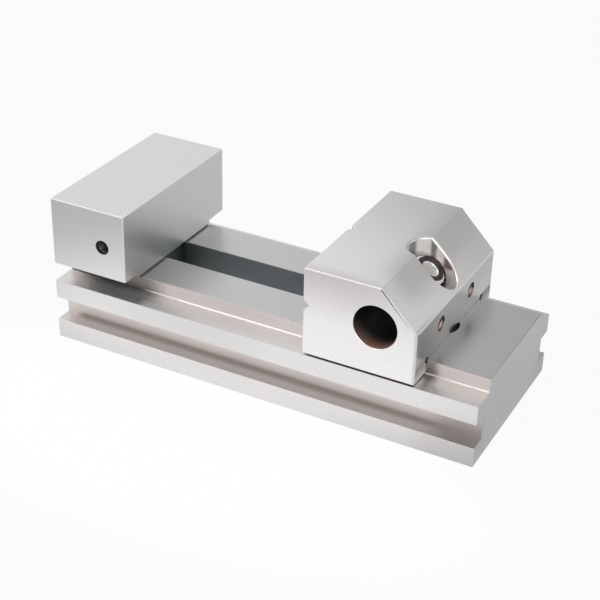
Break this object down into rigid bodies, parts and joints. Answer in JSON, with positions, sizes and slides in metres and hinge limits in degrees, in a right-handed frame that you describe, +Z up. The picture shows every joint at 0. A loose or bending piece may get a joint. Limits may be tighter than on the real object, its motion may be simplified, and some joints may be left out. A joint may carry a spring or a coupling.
{
  "type": "precision grinding vise",
  "caption": "Ground steel toolmaker's vise: one-piece bed with fixed jaw, and a movable jaw pulled forward and down by a tilted socket-head screw.",
  "frame": {"origin": "centre of the bounding box on the base plane", "axes": "+X along the bed from the fixed jaw to the free end, +Y across the bed, +Z up from the base"},
  "size_m": [0.178, 0.073, 0.0612],
  "materials": {
    "ground_steel": "fine surface-ground hardened steel",
    "ground_jaw_steel": "fine surface-ground hardened steel",
    "turned_steel": "turned steel",
    "hardened_washer_steel": "bright hardened steel",
    "black_oxide_steel": "oiled black oxide",
    "set_screw_steel": "worn bronze-tinted oxide"
  },
  "bodies": {
    "base": {"vise_body": "ground_steel"},
    "jaw": {"movable_jaw": "ground_jaw_steel", "rocker_set_screw_near": "set_screw_steel", "rocker_set_screw_far": "set_screw_steel"},
    "rocker": {"swivel_rocker": "turned_steel", "seat_washer": "hardened_washer_steel"},
    "screw": {"draw_screw": "black_oxide_steel"},
    "nut": {"draw_nut": "turned_steel"}
  },
  "joints": [
    {"name": "jaw_slide", "type": "slide", "parent": "base", "child": "jaw", "axis": [1, 0, 0], "range_m": [-0.07525, 0.0215]},
    {"name": "rocker_swing", "type": "hinge", "parent": "jaw", "child": "rocker", "pos_m": [0.0484, 0, 0.0453], "axis": [0, 1, 0], "range_deg": [0, 9]},
    {"name": "screw_spin", "type": "hinge", "parent": "rocker", "child": "screw", "pos_m": [0.0484, 0, 0.0453], "axis": [-0.5446, 0, -0.8387], "range_deg": [0, 720]},
    {"name": "nut_travel", "type": "slide", "parent": "rocker", "child": "nut", "axis": [0.5446, 0, 0.8387], "range_m": [0, 0.0025]}
  ],
  "couplings": [
    {"joint": "screw_spin", "follows": "nut_travel", "rad_per_m": 5026.5}
  ]
}
